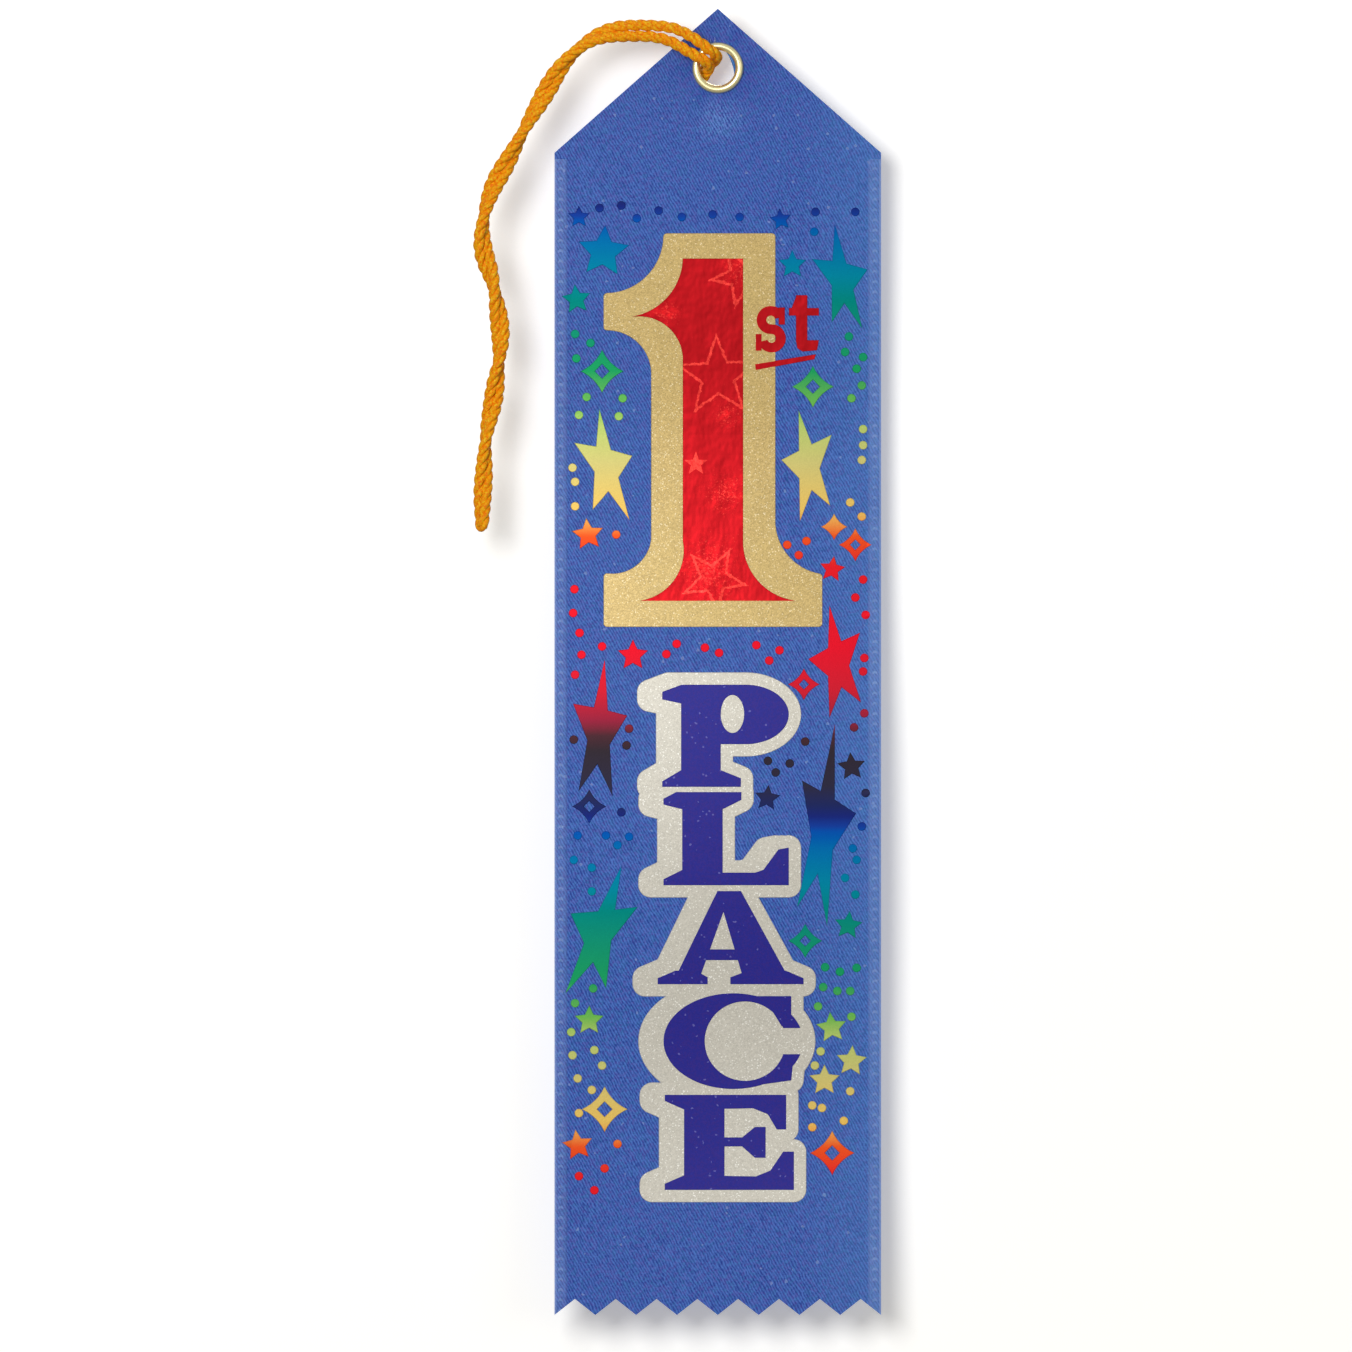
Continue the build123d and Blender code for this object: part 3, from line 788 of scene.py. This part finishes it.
def red_material():
    """Holographic red foil: faint star outlines, one small filled star, and painted highlights and glints
    where it is crumpled.
    """
    s = Shader("red_foil", Roughness=0.40, Metallic=0.75, Specular_IOR_Level=0.2)
    stars = star_line(s, RED_STARS[0])
    for star in RED_STARS[1:]:
        stars = s.larger(stars, star_line(s, star))
    stars = s.larger(stars, star_fill(s, RED_SPARK))
    waves = s.noise(s.scaled(0.20, 1.0, 0.12), 1.0, 3.0, 0.6)
    speckle = s.noise(s.position, 2.6, 3.0, 0.8)
    crumpled = 0.0
    for x, z, radius in RED_CREASES:
        patch = s.larger(s.minus(1.0, s.distance(x, z, radius)), 0.0)
        crumpled = s.larger(crumpled, patch)
    # Painted highlights in soft blotches over the crumpled patches.
    crease_sheen = s.times_plus(s.noise(s.scaled(0.55, 1.0, 0.8), 1.0, 3.0, 0.75), 4.0, -1.9)
    crease_sheen = s.times(s.clamped(crease_sheen), crumpled)
    glints = s.above(s.times_plus(crumpled, 0.20, speckle), 0.72)
    colour = s.mix(waves, linear(156, 8, 17), linear(172, 13, 23))
    colour = s.over(colour, crease_sheen, 0.7, linear(228, 30, 33))
    # The marks are the printed star outlines and, at half strength, the painted glints.
    dotted = s.times_plus(s.noise(s.position, 2.2, 3.0, 0.8), 2.4, -0.6)
    marks = s.times(stars, s.larger(dotted, 0.25))
    marks = s.larger(marks, s.times(glints, 0.5))
    colour = s.over(colour, marks, 0.7, linear(250, 78, 66))
    s.set("Base Color", colour)
    height = s.plus(waves, s.times(speckle, s.times_plus(crumpled, 0.10, 0.01)))
    s.set("Normal", s.bump(height, 0.30 * MM, 0.6))
    return s.material


def letter_material():
    """Deep purple-blue foil over the silver glitter, whose grain shows faintly through, with a few
    painted glints.
    """
    s = Shader("letter_foil", Roughness=0.45, Metallic=0.2, Specular_IOR_Level=0.25)
    grain = s.noise(s.scaled(5.0, 1.0, 5.0), 1.0, 2.0, 0.7)
    flakes = s.cells(4.0)
    colour = s.mix(grain, linear(14, 12, 112), linear(34, 32, 156))
    colour = s.over(colour, s.above(flakes[1], 0.6), 0.22, linear(64, 26, 116))
    # A few pale specks: painted glints.
    colour = s.over(colour, s.above(flakes[0], 0.992), 0.3, linear(150, 150, 220))
    s.set("Base Color", colour)
    s.set("Normal", s.bump(grain, 0.02 * MM, 0.5))
    return s.material


RAINBOW_PERIOD = 95.0             # mm down the strip before the colours come round again
RAINBOW_START = -23.0
RAINBOW = [                       # share of the period, and the colour as it is seen
    (0.000, (22, 62, 156)), (0.008, (4, 80, 172)), (0.020, (0, 92, 174)), (0.035, (0, 108, 174)),
    (0.098, (0, 136, 164)), (0.139, (0, 138, 130)), (0.254, (30, 162, 96)), (0.312, (112, 188, 84)),
    (0.345, (184, 204, 112)), (0.405, (206, 196, 120)), (0.484, (230, 190, 96)), (0.525, (234, 84, 34)),
    (0.574, (225, 30, 40)), (0.704, (226, 22, 43)), (0.777, (202, 32, 50)), (0.827, (145, 36, 60)),
    (0.851, (74, 42, 50)), (0.876, (50, 42, 50)), (0.934, (46, 44, 66)), (0.967, (32, 42, 96)),
    (0.984, (26, 40, 120)), (1.000, (22, 62, 156)),
]


def rainbow_material():
    """Stamped foil whose colour runs through the rainbow down the strip, over a faint weave."""
    s = Shader("rainbow_foil", Roughness=0.48, Metallic=0.40, Specular_IOR_Level=0.03)
    _, _, z = s.axes()
    place = s.math("FRACT", s.times_plus(z, -1 / RAINBOW_PERIOD, RAINBOW_START / RAINBOW_PERIOD))
    colour = s.ramp(place, [(stop, linear(*seen)) for stop, seen in RAINBOW])
    weave = s.noise(s.scaled(6.0, 1.0, 6.0), 1.0, 2.0)
    colour = s.over(colour, weave, 0.24, BLACK)
    s.set("Base Color", colour)
    s.set("Normal", s.bump(weave, 0.03 * MM, 0.4))
    return s.material


def brass_material():
    """Polished pale brass with fine turning marks."""
    s = Shader("pale_brass", Roughness=0.32, Metallic=0.9, Specular_IOR_Level=0.3)
    marks = s.noise(s.scaled(2.5, 2.5, 2.5), 1.0, 4.0, 0.7)
    s.set("Base Color", s.mix(marks, linear(240, 226, 160), linear(250, 243, 200)))
    s.set("Normal", s.bump(marks, 0.015 * MM, 0.3))
    return s.material


def cord_material():
    """Orange-gold rayon: bright silky threads along each ply."""
    s = Shader("cord_rayon", Roughness=0.40, Sheen_Weight=0.55, Sheen_Roughness=0.45,
               Sheen_Tint=(1.0, 0.50, 0.02, 1.0), Specular_IOR_Level=0.12)
    threads = s.noise(s.position, 2.6, 3.0, 0.7)
    fine = s.noise(s.position, 11.0, 2.0, 0.6)
    colour = s.ramp(threads, [
        (0.34, linear(242, 112, 6)), (0.45, linear(255, 148, 8)), (0.56, linear(255, 184, 10)),
        (0.68, linear(255, 220, 56)),
    ])
    s.set("Base Color", s.over(colour, fine, 0.14, linear(190, 88, 6)))
    s.set("Normal", s.bump(s.plus(fine, threads), 0.09 * MM, 0.8))
    return s.material


def paint(pieces, material):
    for piece in pieces:
        piece.data.materials.clear()
        piece.data.materials.append(material)


paint([cloth], satin_material())
paint([frays], thread_material("fray_thread", linear(150, 170, 225)))
paint([hole_edge], thread_material("cut_thread", linear(10, 110, 190)))
paint([gold_print], glitter_material(
    "gold_glitter",
    dark=linear(158, 134, 74), light=linear(204, 176, 108), glint=linear(250, 236, 196)))
paint([silver_print], glitter_material(
    "silver_glitter",
    dark=linear(176, 172, 160), light=linear(204, 200, 188), glint=linear(255, 255, 250)))
paint(red_prints, red_material())
paint(letter_prints, letter_material())
paint(rainbow_prints, rainbow_material())
cord_rayon = cord_material()
paint([cord, knot], cord_rayon)
brass = brass_material()
for name in ("eyelet", "eyelet_washer"):
    for slot in nodes[name].material_slots:
        slot.material = brass

# ---------------------------------------------------------------- what each piece is
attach(cloth, "ribbon")
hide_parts("satin_ribbon")
for thread in (frays, hole_edge):
    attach(thread, "ribbon")

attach(knot, "cord")
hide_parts("cord_knot")
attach(cord, "cord")
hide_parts("cord_loop", "cord_leg_upper", "cord_leg_lower")

# ---------------------------------------------------------------- studio
WALL_Y = 8.0 * MM                 # just behind the knot, so that the strip throws a soft shadow
FLOOR_Z = cloth_low.z - 14 * MM


def plane(name, corners):
    obj = mesh_object(name, corners, [(0, 1, 2, 3)], smooth=False)
    return obj


def make_wall():
    """A white backdrop, seen from in front only, that catches a shadow and throws nothing back."""
    corners = [(-1, WALL_Y, FLOOR_Z), (1, WALL_Y, FLOOR_Z), (1, WALL_Y, 1.0), (-1, WALL_Y, 1.0)]
    wall = plane("backdrop", corners)
    s = Shader("backdrop", Roughness=1.0, Base_Color=(0.95, 0.95, 0.94, 1), Specular_IOR_Level=0.0,
               Emission_Color=(1.0, 0.97, 0.88, 1), Emission_Strength=0.30)
    clear = s.node("BsdfTransparent")
    side = s.node("NewGeometry").outputs["Backfacing"]
    mixed = s.node("MixShader", Fac=side, in1=s.principled.outputs[0], in2=clear.outputs[0])
    s.tree.links.new(mixed.outputs[0], s.tree.nodes["Material Output"].inputs["Surface"])
    paint([wall], s.material)
    wall.visible_diffuse = False
    wall.visible_glossy = False
    wall.visible_shadow = False


def make_floor():
    """A plain floor that stays pale from every side, and throws no light back."""
    floor = plane("floor", [(-2, -2, FLOOR_Z), (2, -2, FLOOR_Z), (2, 2, FLOOR_Z), (-2, 2, FLOOR_Z)])
    s = Shader("floor", Roughness=0.9, Base_Color=(0.90, 0.90, 0.90, 1), Specular_IOR_Level=0.0,
               Emission_Color=(1, 1, 1, 1), Emission_Strength=0.42)
    paint([floor], s.material)
    floor.visible_diffuse = False
    floor.visible_glossy = False


def area_light(name, place, size, power):
    light = bpy.data.lights.new(name, "AREA")
    light.shape = "DISK"
    light.size = size
    light.energy = power
    holder = link(bpy.data.objects.new(name, light))
    holder.location = place
    holder.rotation_euler = (AIM - Vector(place)).to_track_quat("-Z", "Y").to_euler()


SKY_LIGHT = 0.31                  # strength of the sky as light, and what is added for reflections
SHINE_EXTRA = 0.30


def make_world():
    """White to the camera, bright in reflections, and a softer sky, brighter from above, as light."""
    world = bpy.data.worlds.new("world")
    bpy.context.scene.world = world
    world.use_nodes = True
    tree = world.node_tree
    tree.nodes.clear()
    output = tree.nodes.new("ShaderNodeOutputWorld")
    coordinates = tree.nodes.new("ShaderNodeTexCoord")
    axes = tree.nodes.new("ShaderNodeSeparateXYZ")
    sky = tree.nodes.new("ShaderNodeValToRGB")
    height = tree.nodes.new("ShaderNodeMath")
    height.operation = "MULTIPLY_ADD"
    height.inputs[1].default_value = 0.5
    height.inputs[2].default_value = 0.5
    sky.color_ramp.elements[0].color = (0.50, 0.47, 0.42, 1)
    sky.color_ramp.elements[1].color = (1.0, 0.98, 0.94, 1)
    lit = tree.nodes.new("ShaderNodeBackground")
    seen = tree.nodes.new("ShaderNodeBackground")
    seen.inputs["Strength"].default_value = 1.0
    seen.inputs["Color"].default_value = (1, 1, 1, 1)
    rays = tree.nodes.new("ShaderNodeLightPath")
    shine = tree.nodes.new("ShaderNodeMath")
    shine.operation = "MULTIPLY_ADD"
    shine.inputs[1].default_value = SHINE_EXTRA
    shine.inputs[2].default_value = SKY_LIGHT
    mixed = tree.nodes.new("ShaderNodeMixShader")
    links = tree.links
    links.new(coordinates.outputs["Generated"], axes.inputs[0])
    links.new(axes.outputs[2], height.inputs[0])
    links.new(height.outputs[0], sky.inputs["Fac"])
    links.new(sky.outputs[0], lit.inputs["Color"])
    links.new(rays.outputs["Is Glossy Ray"], shine.inputs[0])
    links.new(shine.outputs[0], lit.inputs["Strength"])
    links.new(rays.outputs["Is Camera Ray"], mixed.inputs[0])
    links.new(lit.outputs[0], mixed.inputs[1])
    links.new(seen.outputs[0], mixed.inputs[2])
    links.new(mixed.outputs[0], output.inputs["Surface"])


make_wall()
make_floor()
make_world()
area_light("key", (-0.34, -1.10, 0.20), size=0.50, power=8.7)
area_light("fill", (0.75, -0.90, 0.05), size=0.60, power=1.0)
area_light("back_fill", (0.30, 1.10, 0.40), size=0.80, power=8.0)
bpy.context.scene.view_settings.view_transform = "Standard"
